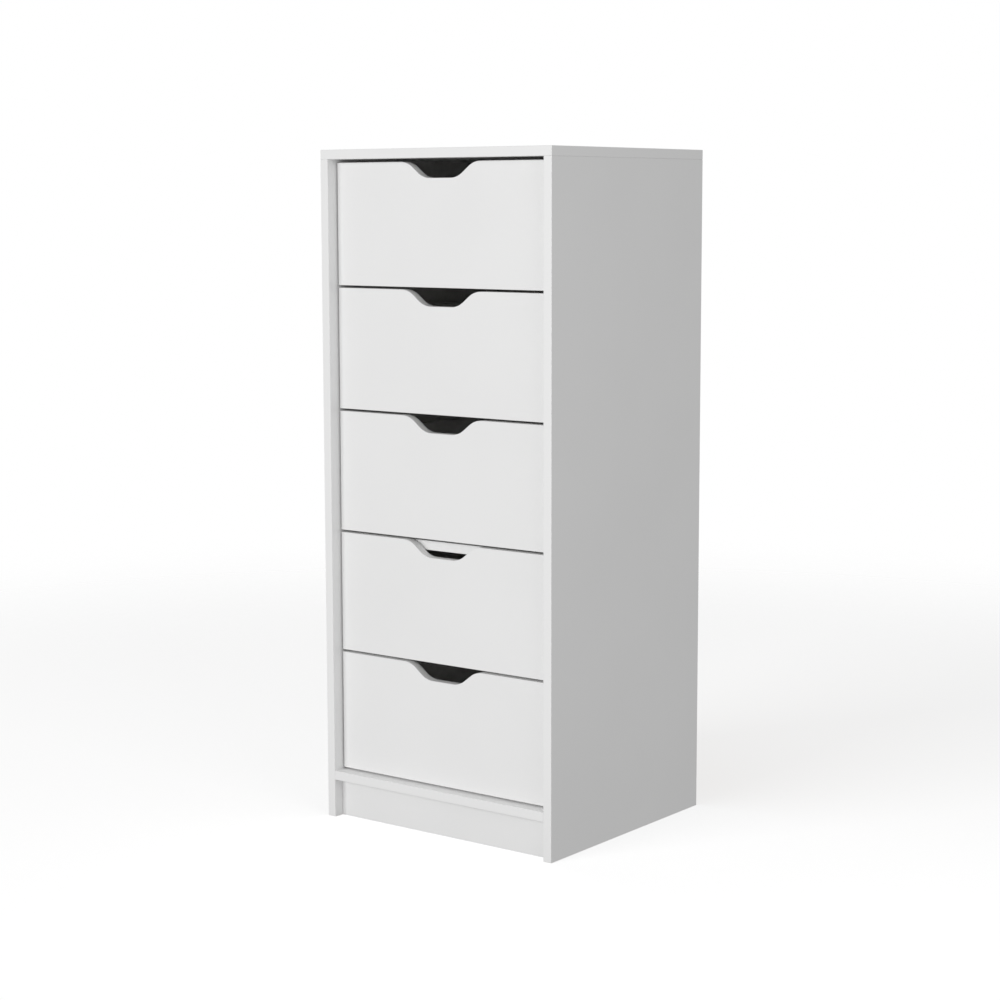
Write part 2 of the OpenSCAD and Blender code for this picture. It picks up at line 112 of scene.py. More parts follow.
class Graph:
    """A material's node tree with one Principled shader, and short calls for the nodes before it."""

    def __init__(self, name):
        self.material = bpy.data.materials.new(name)
        self.material.use_nodes = True
        self.tree = self.material.node_tree
        self.tree.nodes.clear()
        output = self.tree.nodes.new("ShaderNodeOutputMaterial")
        self.shader = self.tree.nodes.new("ShaderNodeBsdfPrincipled")
        self.tree.links.new(self.shader.outputs["BSDF"], output.inputs["Surface"])
        self.coordinates = self.tree.nodes.new("ShaderNodeTexCoord")

    def fill(self, socket, value):
        """Links a socket to another socket, or sets it to a plain value or colour."""
        if isinstance(value, bpy.types.NodeSocket):
            self.tree.links.new(value, socket)
        elif isinstance(value, tuple) and len(socket.default_value) == 4:
            socket.default_value = (*value, 1.0)
        else:
            socket.default_value = value

    def math(self, operation, first, second=0.0):
        node = self.tree.nodes.new("ShaderNodeMath")
        node.operation = operation
        self.fill(node.inputs[0], first)
        self.fill(node.inputs[1], second)
        return node.outputs[0]

    def axis(self, coordinate, letter):
        """One axis of the object's coordinates ("Object") or of its surface normal ("Normal")."""
        node = self.tree.nodes.new("ShaderNodeSeparateXYZ")
        self.fill(node.inputs[0], self.coordinates.outputs[coordinate])
        return node.outputs["XYZ".index(letter)]

    def stretched(self, scale):
        """Object coordinates with their own scale along each axis."""
        node = self.tree.nodes.new("ShaderNodeMapping")
        self.fill(node.inputs["Vector"], self.coordinates.outputs["Object"])
        self.fill(node.inputs["Scale"], Vector(scale))
        return node.outputs["Vector"]

    def noise(self, per_metre, detail=3.0, roughness=0.5, vector=None):
        node = self.tree.nodes.new("ShaderNodeTexNoise")
        self.fill(node.inputs["Vector"], vector or self.coordinates.outputs["Object"])
        self.fill(node.inputs["Scale"], per_metre)
        self.fill(node.inputs["Detail"], detail)
        self.fill(node.inputs["Roughness"], roughness)
        return node.outputs["Fac"]

    def chips(self, per_metre):
        """A random number in each cell of a Voronoi pattern."""
        node = self.tree.nodes.new("ShaderNodeTexVoronoi")
        self.fill(node.inputs["Vector"], self.coordinates.outputs["Object"])
        self.fill(node.inputs["Scale"], per_metre)
        split = self.tree.nodes.new("ShaderNodeSeparateColor")
        self.fill(split.inputs[0], node.outputs["Color"])
        return split.outputs[0]

    def spread(self, value, low, high, new_low=0.0, new_high=1.0):
        """Maps low..high of a value to new_low..new_high, smoothly, and holds it inside that range."""
        node = self.tree.nodes.new("ShaderNodeMapRange")
        node.interpolation_type = "SMOOTHSTEP"
        for name, setting in zip(("Value", "From Min", "From Max", "To Min", "To Max"),
                                 (value, low, high, new_low, new_high)):
            self.fill(node.inputs[name], setting)
        return node.outputs["Result"]

    def mix(self, factor, first, second):
        node = self.tree.nodes.new("ShaderNodeMix")
        node.data_type = "RGBA"
        self.fill(node.inputs["Factor"], factor)
        self.fill([s for s in node.inputs if s.name == "A" and s.type == "RGBA"][0], first)
        self.fill([s for s in node.inputs if s.name == "B" and s.type == "RGBA"][0], second)
        return [s for s in node.outputs if s.type == "RGBA"][0]

    def bump(self, height, strength, depth, below=None):
        """The normal of a height pattern. below is the normal of a pattern that it lies on."""
        node = self.tree.nodes.new("ShaderNodeBump")
        self.fill(node.inputs["Strength"], strength)
        self.fill(node.inputs["Distance"], depth)
        self.fill(node.inputs["Height"], height)
        if below:
            self.fill(node.inputs["Normal"], below)
        return node.outputs["Normal"]

    def finish(self, colour, roughness, normal, **constants):
        """Wires the shader. The constants carry the names of its sockets, with _ for a space."""
        self.fill(self.shader.inputs["Base Color"], colour)
        self.fill(self.shader.inputs["Roughness"], roughness)
        self.fill(self.shader.inputs["Normal"], normal)
        for name, value in constants.items():
            self.fill(self.shader.inputs[name.replace("_", " ")], value)
        return self.material


# ---------------------------------------------------------------- materials

FOIL_LIGHT = (0.905, 0.905, 0.903)
FOIL_SHADE = (0.890, 0.890, 0.888)
EDGE_BAND = (0.908, 0.908, 0.906)
CHIP_LIGHT = (0.56, 0.42, 0.27)
CHIP_DARK = (0.33, 0.22, 0.13)
LACQUER_LIGHT = (0.860, 0.858, 0.850)
LACQUER_SHADE = (0.842, 0.840, 0.832)
FIBRE_LIGHT = (0.350, 0.225, 0.130)
FIBRE_DARK = (0.235, 0.140, 0.075)
PRIMER_LIGHT = (0.82, 0.815, 0.80)
PRIMER_DARK = (0.77, 0.765, 0.75)
EPOXY_LIGHT = (0.80, 0.80, 0.79)
EPOXY_SHADE = (0.77, 0.77, 0.76)
NYLON_CLEAN = (0.77, 0.76, 0.72)
NYLON_SCUFFED = (0.70, 0.69, 0.65)
ZINC_LIGHT = (0.66, 0.67, 0.69)
ZINC_DARK = (0.52, 0.53, 0.55)
BEECH_LIGHT = (0.60, 0.41, 0.25)
BEECH_DARK = (0.50, 0.32, 0.18)
BEECH_FLECK = (0.34, 0.20, 0.10)
SCREEN_PITCH = 1.1 * MM     # between the wires of the screen that a hardboard is pressed on
CHIP_SHARE = 0.6            # of the chips in raw chipboard's tone. The rest is dust.


def chipboard_colour(g):
    """Raw chipboard: pale and dark chips with fine dust between them."""
    chips = g.math("MULTIPLY", g.chips(per_metre=620.0), CHIP_SHARE)
    dust = g.math("MULTIPLY", g.noise(per_metre=1500.0, detail=4.0), 1.0 - CHIP_SHARE)
    return g.mix(g.spread(g.math("ADD", chips, dust), 0.25, 0.75), CHIP_DARK, CHIP_LIGHT)


def melamine(name, thickness_axis, raw_faces=()):
    """White melamine foil with a fine pearl grain, on a board with smoother edge bands.
    raw_faces lists (axis, sign) of the edges that carry no band and show raw chipboard."""
    g = Graph(name)
    across = g.math("ABSOLUTE", g.axis("Normal", thickness_axis))
    on_edge = g.spread(across, 0.75, 0.45)
    clouds = g.noise(per_metre=5.0, detail=4.0)
    tone = g.mix(g.spread(clouds, 0.3, 0.7), FOIL_LIGHT, FOIL_SHADE)
    colour = g.mix(on_edge, tone, EDGE_BAND)
    pearl = g.noise(per_metre=850.0, detail=3.0, roughness=0.6)
    peel = g.noise(per_metre=140.0, detail=2.0)
    foil_roughness = g.spread(peel, 0.25, 0.75, 0.40, 0.50)
    roughness = g.math("SUBTRACT", foil_roughness, g.math("MULTIPLY", on_edge, 0.08))
    for letter, sign in raw_faces:
        raw = g.spread(g.math("MULTIPLY", g.axis("Normal", letter), sign), 0.80, 0.90)
        colour = g.mix(raw, colour, chipboard_colour(g))
        roughness = g.math("ADD", roughness, g.math("MULTIPLY", raw, 0.40))
    grain = g.bump(pearl, strength=0.20, depth=0.05 * MM)
    normal = g.bump(peel, strength=0.12, depth=0.10 * MM, below=grain)
    return g.finish(colour, roughness, normal, Specular_IOR_Level=0.45)


def hardboard(name, thickness_axis, smooth_side, rough_light, rough_dark):
    """Hardboard with one smooth white lacquered face. The other face keeps the press's screen pattern."""
    g = Graph(name)
    facing = g.math("MULTIPLY", g.axis("Normal", thickness_axis), smooth_side)
    lacquered = g.spread(facing, 0.4, 0.6)
    fibres = g.noise(per_metre=260.0, detail=6.0, roughness=0.7)
    clouds = g.noise(per_metre=9.0, detail=5.0, roughness=0.6)
    rough = g.mix(g.spread(fibres, 0.35, 0.7), rough_dark, rough_light)
    rough = g.mix(g.spread(clouds, 0.35, 0.75, 0.0, 0.35), rough, rough_dark)
    white = g.mix(g.spread(clouds, 0.3, 0.7), LACQUER_LIGHT, LACQUER_SHADE)
    turn = 2 * math.pi / SCREEN_PITCH
    other_axis = {"Y": "Z", "Z": "Y"}[thickness_axis]
    wires = [g.math("SINE", g.math("MULTIPLY", g.axis("Object", a), turn)) for a in ("X", other_axis)]
    screen = g.math("MULTIPLY", g.math("MULTIPLY", *wires), g.math("SUBTRACT", 1.0, lacquered))
    height = g.math("ADD", g.math("MULTIPLY", screen, 0.35), fibres)
    normal = g.bump(height, strength=0.35, depth=0.12 * MM)
    roughness = g.spread(lacquered, 0.0, 1.0, 0.82, 0.46)
    return g.finish(g.mix(lacquered, rough, white), roughness, normal)


def white_epoxy():
    """White epoxy powder coat with its orange peel."""
    g = Graph("white_epoxy")
    peel = g.noise(per_metre=420.0, detail=2.0)
    clouds = g.noise(per_metre=30.0, detail=3.0)
    tone = g.mix(g.spread(clouds, 0.3, 0.7), EPOXY_LIGHT, EPOXY_SHADE)
    roughness = g.spread(peel, 0.3, 0.7, 0.28, 0.38)
    normal = g.bump(peel, strength=0.25, depth=0.08 * MM)
    return g.finish(tone, roughness, normal, Coat_Weight=0.25, Coat_Roughness=0.2)


def white_nylon():
    """Natural white nylon, a little waxy, with the faint scuffs of a roller."""
    g = Graph("white_nylon")
    scuffs = g.noise(per_metre=700.0, detail=4.0, roughness=0.65)
    tone = g.mix(g.spread(scuffs, 0.35, 0.8), NYLON_CLEAN, NYLON_SCUFFED)
    roughness = g.spread(scuffs, 0.3, 0.7, 0.38, 0.55)
    normal = g.bump(scuffs, strength=0.2, depth=0.05 * MM)
    return g.finish(tone, roughness, normal, Subsurface_Weight=0.1, Subsurface_Scale=2 * MM)


def zinc_plate():
    """Bright zinc plate with small cloudy patches and fine tool marks."""
    g = Graph("zinc_plate")
    clouds = g.noise(per_metre=220.0, detail=5.0, roughness=0.65)
    marks = g.noise(per_metre=1500.0, detail=3.0, roughness=0.6)
    tone = g.mix(g.spread(clouds, 0.3, 0.7), ZINC_LIGHT, ZINC_DARK)
    roughness = g.spread(clouds, 0.25, 0.75, 0.26, 0.45)
    normal = g.bump(marks, strength=0.25, depth=0.03 * MM)
    return g.finish(tone, roughness, normal, Metallic=1.0)


def raw_beech():
    """Raw beech with its short dark flecks."""
    g = Graph("raw_beech")
    fibre = g.noise(per_metre=180.0, detail=5.0, roughness=0.6, vector=g.stretched((0.25, 1.0, 0.25)))
    flecks = g.noise(per_metre=900.0, detail=2.0, roughness=0.5, vector=g.stretched((0.2, 1.0, 0.2)))
    tone = g.mix(g.spread(fibre, 0.3, 0.7), BEECH_LIGHT, BEECH_DARK)
    colour = g.mix(g.spread(flecks, 0.62, 0.75), tone, BEECH_FLECK)
    roughness = g.spread(fibre, 0.3, 0.7, 0.6, 0.75)
    return g.finish(colour, roughness, g.bump(fibre, strength=0.3, depth=0.1 * MM))


UPRIGHT = melamine("melamine_upright", "X", (("Y", 1), ("Z", -1)))
FACING = melamine("melamine_facing", "Y")
LEVEL = melamine("melamine_level", "Z", (("Y", 1),))
BACK_HARDBOARD = hardboard("hardboard_back", "Y", -1, FIBRE_LIGHT, FIBRE_DARK)
BOTTOM_HARDBOARD = hardboard("hardboard_bottom", "Z", 1, PRIMER_LIGHT, PRIMER_DARK)
EPOXY = white_epoxy()
NYLON = white_nylon()
ZINC = zinc_plate()
BEECH = raw_beech()


# ---------------------------------------------------------------- mesh tools

SHARP = math.radians(35)        # an edge with a greater angle between its faces counts as sharp
FLAT = math.radians(0.4)        # faces that differ by less than this become one
EASED = math.radians(50)        # an edge of sheet metal with a greater one is eased
WELD = 0.001 * MM               # points closer than this become one
ON_PLANE = 0.02 * MM            # a point this near a plane counts as on it
TURN_STEPS = 48
BEND_STEPS = 6
HOLE_STEPS = 24


def to_mesh(bm, name):
    """Turns a bmesh into a mesh with outward faces, smooth over soft edges and sharp over hard ones."""
    bmesh.ops.recalc_face_normals(bm, faces=bm.faces)
    for face in bm.faces:
        face.smooth = True
    for edge in bm.edges:
        edge.smooth = len(edge.link_faces) == 2 and edge.calc_face_angle(0.0) < SHARP
    mesh = bpy.data.meshes.new(name)
    bm.to_mesh(mesh)
    bm.free()
    return mesh


def lathe(bm, profile, place=Matrix(), bored=False, steps=TURN_STEPS):
    """Turns (radius, height) points about the Z axis of place into a solid, closed round a bore if bored."""
    rings = []
    for radius, height in profile:
        turns = [2 * math.pi * k / steps for k in range(steps)] if radius > 0 else [0.0]
        points = [Vector((radius * math.cos(a), radius * math.sin(a), height)) for a in turns]
        rings.append([bm.verts.new(place @ point) for point in points])
    pairs = list(zip(rings, rings[1:]))
    if bored:
        pairs.append((rings[-1], rings[0]))
    for low, high in pairs:
        for k in range(steps):
            below = [low[k % len(low)], low[(k + 1) % len(low)]]
            above = [high[(k + 1) % len(high)], high[k % len(high)]]
            bm.faces.new(list(dict.fromkeys(below + above)))


def prism(bm, outline, start, end, place=Matrix()):
    """A closed outline of (x, y) points, extruded along the Z axis of place from start to end."""
    low, high = ([bm.verts.new(place @ Vector((x, y, z))) for x, y in outline] for z in (start, end))
    bm.faces.new(low)
    bm.faces.new(high)
    for k in range(len(outline)):
        after = (k + 1) % len(outline)
        bm.faces.new((low[k], low[after], high[after], high[k]))


def arc(centre, radius, first, last, steps=BEND_STEPS):
    """Points of an arc between two angles in degrees."""
    angles = [math.radians(first + (last - first) * k / steps) for k in range(steps + 1)]
    return [(centre[0] + radius * math.cos(a), centre[1] + radius * math.sin(a)) for a in angles]


def circle(centre, radius):
    """Outline of a round hole."""
    return arc(centre, radius, 0, 360 - 360 / HOLE_STEPS, HOLE_STEPS - 1)


def dome(radius, foot, top, angles):
    """Profile of a domed head, from its rim at height foot almost up to its top."""
    turns = [math.radians(a) for a in angles]
    return [(radius * math.cos(a), foot + (top - foot) * math.sin(a)) for a in turns]


def rounded_box(low, high, radius):
    """Outline of a rectangle with round corners. A radius of half its height makes a slot."""
    x0, y0, x1, y1 = low[0] + radius, low[1] + radius, high[0] - radius, high[1] - radius
    return (arc((x1, y0), radius, -90, 0) + arc((x1, y1), radius, 0, 90)
            + arc((x0, y1), radius, 90, 180) + arc((x0, y0), radius, 180, 270))


def cross_outline(reach, width):
    """Outline of a cross, as a cross-head driver leaves it."""
    half = width / 2
    return [(half, half), (half, reach), (-half, reach), (-half, half), (-reach, half), (-reach, -half),
            (-half, -half), (-half, -reach), (half, -reach), (half, -half), (reach, -half), (reach, half)]


def bent_outline(path, thickness, inner_radius):
    """Outline of a sheet strip whose middle follows a path of (u, z) points with round bends."""
    points = [Vector(point) for point in path]
    middle_radius = inner_radius + thickness / 2
    near, far = [], []

    def put(centre, direction, near_reach, far_reach):
        near.append(centre + direction * near_reach)
        far.append(centre + direction * far_reach)

    def left_of(direction):
        return Vector((-direction.y, direction.x))

    first = (points[1] - points[0]).normalized()
    put(points[0], left_of(first), thickness / 2, -thickness / 2)
    for before, corner, after in zip(points, points[1:], points[2:]):
        arriving, leaving = (corner - before).normalized(), (after - corner).normalized()
        angle = math.atan2(arriving.cross(leaving), arriving.dot(leaving))
        turn = math.copysign(1.0, angle)
        start = corner - arriving * middle_radius * math.tan(abs(angle) / 2)
        centre = start + left_of(arriving) * turn * middle_radius
        for k in range(BEND_STEPS + 1):
            spoke = Matrix.Rotation(angle * k / BEND_STEPS, 2) @ (left_of(arriving) * -turn)
            put(centre, spoke, middle_radius - turn * thickness / 2, middle_radius + turn * thickness / 2)
    last = (points[-1] - points[-2]).normalized()
    put(points[-1], left_of(last), thickness / 2, -thickness / 2)
    return [tuple(point) for point in near + far[::-1]]


def combined(mesh, operation, tools):
    """The mesh after an exact boolean with the closed solids of a bmesh."""
    tool_mesh = bpy.data.meshes.new("tool")
    bmesh.ops.recalc_face_normals(tools, faces=tools.faces)
    tools.to_mesh(tool_mesh)
    tools.free()
    stock = bpy.data.objects.new("stock", mesh)
    tool = bpy.data.objects.new("tool", tool_mesh)
    for item in (stock, tool):
        bpy.context.scene.collection.objects.link(item)
    cut = stock.modifiers.new("cut", "BOOLEAN")
    cut.operation = operation
    cut.object = tool
    cut.solver = "EXACT"
    evaluated = stock.evaluated_get(bpy.context.evaluated_depsgraph_get())
    result = bpy.data.meshes.new_from_object(evaluated)
    for item in (stock, tool):
        bpy.data.objects.remove(item)
    for used in (mesh, tool_mesh):
        bpy.data.meshes.remove(used)
    return result


def stamp(bm, mesh, place):
    """Adds a copy of a mesh to a bmesh, at a place that may mirror it."""
    copy = mesh.copy()
    copy.transform(place)
    if place.determinant() < 0:
        copy.flip_normals()
    bm.from_mesh(copy)
    bpy.data.meshes.remove(copy)


def add_piece(name, mesh, material, *nodes):
    """Adds a finished mesh that stands for CAD nodes of one body and rides on it."""
    mesh.materials.clear()
    mesh.materials.append(material)
    piece = bpy.data.objects.new(name, mesh)
    bpy.context.scene.collection.objects.link(piece)
    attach(piece, BODY_OF[nodes[0]])
    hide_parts(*nodes)
    return piece


def even_normals(piece):
    """Keeps large flat faces flat in the shading beside their rounded edges."""
    modifier = piece.modifiers.new("even_normals", "WEIGHTED_NORMAL")
    modifier.keep_sharp = True


def ease_edges(piece, width):
    """Takes the sharpness off a piece's edges."""
    modifier = piece.modifiers.new("eased_edges", "BEVEL")
    modifier.width = width
    modifier.segments = 2
    modifier.limit_method = "ANGLE"
    modifier.angle_limit = EASED
    even_normals(piece)


# ---------------------------------------------------------------- boards

BOARD_EDGE = 0.8 * MM
FRONT_EDGE = 0.8 * MM
DRAWER_BOX_EDGE = 0.5 * MM
HARDBOARD_EDGE = 0.2 * MM


def planes_touched(point, low, high):
    """How many of a box's six planes a point lies on."""
    return sum(min(abs(point[i] - low[i]), abs(point[i] - high[i])) < ON_PLANE for i in range(3))


def board(node, name, material, edge_radius, cut_out=None):
    """A board in the CAD node's shape, its bores included, with rounded outer edges.
    cut_out is a test that picks further edges to round."""
    low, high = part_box(node)
    bm = bmesh.new()
    bm.from_mesh(NODES[node].data)
    bmesh.ops.remove_doubles(bm, verts=bm.verts, dist=WELD)
    bmesh.ops.dissolve_limit(bm, angle_limit=FLAT, verts=bm.verts, edges=bm.edges)
    outer = []
    for edge in bm.edges:
        if len(edge.link_faces) == 2 and edge.calc_face_angle(0.0) > SHARP:
            middle = (edge.verts[0].co + edge.verts[1].co) / 2
            if planes_touched(middle, low, high) == 2 or (cut_out and cut_out(middle)):
                outer.append(edge)
    bmesh.ops.bevel(bm, geom=outer, offset=edge_radius, segments=3, profile=0.5, affect="EDGES")
    piece = add_piece(name, to_mesh(bm, name), material, node)
    even_normals(piece)


def make_carcase_boards():
    board("top_panel", "top_board", LEVEL, BOARD_EDGE)
    board("bottom_panel", "bottom_board", LEVEL, BOARD_EDGE)
    board("cross_rail", "cross_rail_board", LEVEL, BOARD_EDGE)
    board("kick_board", "kick_board_front", FACING, BOARD_EDGE)
    board("left_side_panel", "left_side_board", UPRIGHT, BOARD_EDGE)
    board("right_side_panel", "right_side_board", UPRIGHT, BOARD_EDGE)
    board("back_panel", "back_hardboard", BACK_HARDBOARD, HARDBOARD_EDGE)


CUT_OUT_REACH = 90 * MM     # the finger cut-out's edges lie within this much of the middle
CUT_OUT_DEPTH = 26 * MM     # and within this much of the front's upper edge


def make_drawer_box(n):
    """Front, sides, back and bottom of drawer n."""
    front = f"drawer_{n}_front"
    low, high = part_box(front)

    def in_cut_out(point):
        on_face = min(abs(point.y - low.y), abs(point.y - high.y)) < ON_PLANE
        return on_face and abs(point.x) < CUT_OUT_REACH and point.z > high.z - CUT_OUT_DEPTH

    board(front, f"drawer_{n}_front_board", FACING, FRONT_EDGE, in_cut_out)
    board(f"drawer_{n}_left_side", f"drawer_{n}_left_board", UPRIGHT, DRAWER_BOX_EDGE)
    board(f"drawer_{n}_right_side", f"drawer_{n}_right_board", UPRIGHT, DRAWER_BOX_EDGE)
    board(f"drawer_{n}_back", f"drawer_{n}_back_board", FACING, DRAWER_BOX_EDGE)
    board(f"drawer_{n}_bottom", f"drawer_{n}_bottom_hardboard", BOTTOM_HARDBOARD, HARDBOARD_EDGE)


# ---------------------------------------------------------------- runners

# A runner's own frame: u from the carcase side's inner face towards the middle of the chest,
# y as in the chest, and z above the runner's base line. The carcase runner is a channel that is
# open towards the middle, with a track below and a flange above. The drawer runner is an angle,
# with a foot under the drawer side, and a lip at the top of its web over the front roller.
SHEET = 1.2 * MM
TRACK_TOP = 7.2 * MM            # z that the rear roller runs on
CHANNEL_TOP = 26.0 * MM         # z under the channel's upper flange
FLANGE_REACH = 10.0 * MM        # u of the track's and the upper flange's free edges
FLANGE_SETBACK = 26.0 * MM      # of the upper flange behind the channel's front end
FOOT_Z = 10.0 * MM              # z under the drawer runner's foot
FOOT_TOP = FOOT_Z + SHEET
LIP_BOTTOM = 28.0 * MM          # z under the lip
CARCASE_GAP = 12.7 * MM         # from a carcase side to the drawer side
LIP_START = 2.6 * MM            # u of the lip's free edge
FOOT_END = 24.2 * MM            # u of the foot's free edge
CARCASE_BEND = 1.0 * MM         # inner radius of the channel's bends
DRAWER_BEND = 0.5 * MM          # inner radius of the angle's bends
STOP_HEIGHT = 4.0 * MM          # of a stop tab above the track
STOP_START = 3.0 * MM           # u that a stop tab starts at
RIVET_RADIUS = 2.0 * MM
RIVET_HEAD_RADIUS = 3.2 * MM
RIVET_HEAD_HEIGHT = 0.8 * MM
SHOULDER = 1.2 * MM             # of a rivet, between the sheet and the roller
ROLLER_PLAY = 0.2 * MM          # on either side of a roller, along its rivet
SCREW_HOLE_RADIUS = 1.8 * MM
SHEET_EDGE = 0.15 * MM
RUNNER_CORNER = 5.0 * MM
STOP_CORNER = 1.0 * MM
STOP_PLAY = 0.5 * MM            # between a stop tab and the roller at the end of its travel
ROLLER_WIDTH = 6.4 * MM
SCREW_DROP = 1.4 * MM                                  # of the screws below the front roller's axis
CARCASE_SCREW_YS = (35 * MM, 175 * MM, 325 * MM)       # behind the carcase runner's front end
DRAWER_SCREW_YS = (31 * MM, 189 * MM, 304 * MM)        # behind the drawer runner's front end
DRAWER_SCREW_U = 18.7 * MM
SLOT_LENGTH = 9.0 * MM
SLOT_HEIGHT = 4.2 * MM
CARCASE_SLOT_YS = (67 * MM, 131 * MM, 227 * MM, 291 * MM)
DRAWER_SLOT_YS = (63 * MM, 127 * MM, 223 * MM)
WEB_HOLE_YS = (95 * MM, 259 * MM)
WEB_HOLE_Z = 19.6 * MM
WEB_HOLE_RADIUS = 3.2 * MM
PAST = 1.0 * MM                                        # how far a tool runs past the face it cuts
RIVET_DOME_ANGLES = (0, 20, 40, 60, 75)
RIVET_RIM = 0.35                                       # straight share of a rivet head's height

# Places for prisms. The outlines are (u, z) pushed along y, and (y, z) pushed along u.
ALONG_Y = Matrix(((1, 0, 0, 0), (0, 0, 1, 0), (0, 1, 0, 0), (0, 0, 0, 1)))
ALONG_U = Matrix(((0, 0, 1, 0), (1, 0, 0, 0), (0, 1, 0, 0), (0, 0, 0, 1)))


def base_line(n):
    """Height of the base line of drawer n's runners."""
    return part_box(f"drawer_{n}_runners")[0].z - FOOT_Z


def inner_face():
    """X of the right carcase side's inner face."""
    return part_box("right_side_panel")[0].x


def runner_place(n, side):
    """From a runner's own frame to the chest's frame."""
    return Matrix.Translation((side * inner_face(), 0, base_line(n))) @ Matrix.Diagonal((-side, 1, 1, 1))


def roller_axis(node):
    """Axis y, axis z and radius of a roller pair."""
    low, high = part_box(node)
    middle = (low + high) / 2
    return middle.y, middle.z, (high.z - low.z) / 2


def rivet_profile():
    """A shouldered rivet, seated at height 0, with a domed head behind its roller."""
    head = SHOULDER + ROLLER_WIDTH + 2 * ROLLER_PLAY
    top = head + RIVET_HEAD_HEIGHT
    rim = head + RIVET_HEAD_HEIGHT * RIVET_RIM
    shank = [(0, -SHEET / 2), (RIVET_HEAD_RADIUS, -SHEET / 2), (RIVET_HEAD_RADIUS, SHOULDER),
             (RIVET_RADIUS, SHOULDER), (RIVET_RADIUS, head), (RIVET_HEAD_RADIUS, head)]
    return shank + dome(RIVET_HEAD_RADIUS, rim, top, RIVET_DOME_ANGLES) + [(0, top)]


def slot(centre_x, centre_y):
    """Outline of an elongated mounting hole."""
    half_length, half_height = SLOT_LENGTH / 2, SLOT_HEIGHT / 2
    end_radius = half_height * 0.999    # a little less than half the height, so that no two points meet
    return rounded_box((centre_x - half_length, centre_y - half_height),
                       (centre_x + half_length, centre_y + half_height), end_radius)


def stop_tab_ys():
    """Front faces of the two stop tabs, which meet the rear roller at each end of the travel."""
    axis_y, axis_z, radius = roller_axis("drawer_1_rear_rollers")
    drop = axis_z - base_line(1) - TRACK_TOP - STOP_HEIGHT
    reach = math.sqrt(radius ** 2 - drop ** 2) + STOP_PLAY
    travel = next(joint["range_m"][1] for joint in frame["joints"] if joint["name"] == "drawer_1_slide")
    return axis_y - travel - reach - SHEET, axis_y + reach


def stop_tabs():
    """The two bent-up tabs on the track, with rounded upper corners."""
    tabs = bmesh.new()
    upper = TRACK_TOP + STOP_HEIGHT - STOP_CORNER
    foot = TRACK_TOP - SHEET / 2
    outline = (arc((FLANGE_REACH - STOP_CORNER, upper), STOP_CORNER, 0, 90)
               + arc((STOP_START + STOP_CORNER, upper), STOP_CORNER, 90, 180)
               + [(STOP_START, foot), (FLANGE_REACH, foot)])
    for tab_y in stop_tab_ys():
        prism(tabs, outline, tab_y, tab_y + SHEET, ALONG_Y)
    return tabs


def front_notch(front):
    """What is cut from the channel's front end: the upper flange over the roller, and the web's corner."""
    # The multiples of PAST keep the faces of the two cutters apart.
    notch = bmesh.new()
    low_y, high_y = front - 2 * PAST, front + FLANGE_SETBACK
    low_z, high_z = CHANNEL_TOP - 0.9 * PAST, CHANNEL_TOP + 2 * PAST
    web_end = high_y - 2 * PAST
    above = CHANNEL_TOP + 3 * PAST
    split = SHEET + CARCASE_BEND * 0.5      # u between the web's cutter and the flange's
    corner = ([(front - PAST, above), (front - PAST, CHANNEL_TOP - RUNNER_CORNER)]
              + arc((front + RUNNER_CORNER, CHANNEL_TOP + SHEET - RUNNER_CORNER), RUNNER_CORNER, 180, 90)
              + [(web_end, CHANNEL_TOP + SHEET), (web_end, above)])
    prism(notch, corner, -PAST, split, ALONG_U)
    flange = [(low_y, low_z), (high_y, low_z), (high_y, high_z), (low_y, high_z)]
    prism(notch, flange, split, FLANGE_REACH + PAST, ALONG_U)
    return notch


def carcase_runner_holes(front, screw_z):
    """The screw holes and spare slots in a carcase runner's web."""
    holes = bmesh.new()
    for offset in CARCASE_SCREW_YS:
        prism(holes, circle((front + offset, screw_z), SCREW_HOLE_RADIUS), -PAST, SHEET + PAST, ALONG_U)
    for offset in CARCASE_SLOT_YS:
        prism(holes, slot(front + offset, screw_z), -PAST, SHEET + PAST, ALONG_U)
    return holes


def with_rivet(mesh, seat, name):
    """The mesh with a roller's rivet standing on it."""
    bm = bmesh.new()
    bm.from_mesh(mesh)
    lathe(bm, rivet_profile(), seat)
    return to_mesh(bm, name)


def carcase_runner_mesh():
    """A rolled channel with holes, stop tabs and the front roller's rivet, in the runner's frame."""
    box_low, box_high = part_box("right_carcase_runners")
    front, back = box_low.y, box_high.y
    axis_y, axis_z, _ = roller_axis("drawer_1_front_rollers")
    axis_z -= base_line(1)
    track, roof = TRACK_TOP - SHEET / 2, CHANNEL_TOP + SHEET / 2
    path = [(FLANGE_REACH, track), (SHEET / 2, track), (SHEET / 2, roof), (FLANGE_REACH, roof)]
    bm = bmesh.new()
    prism(bm, bent_outline(path, SHEET, CARCASE_BEND), front, back, ALONG_Y)
    mesh = to_mesh(bm, "carcase_runner")
    mesh = combined(mesh, "UNION", stop_tabs())
    mesh = combined(mesh, "DIFFERENCE", front_notch(front))
    mesh = combined(mesh, "DIFFERENCE", carcase_runner_holes(front, axis_z - SCREW_DROP))
    seat = Matrix.Translation((SHEET, axis_y, axis_z)) @ Matrix.Rotation(math.pi / 2, 4, "Y")
    return with_rivet(mesh, seat, "carcase_runner")


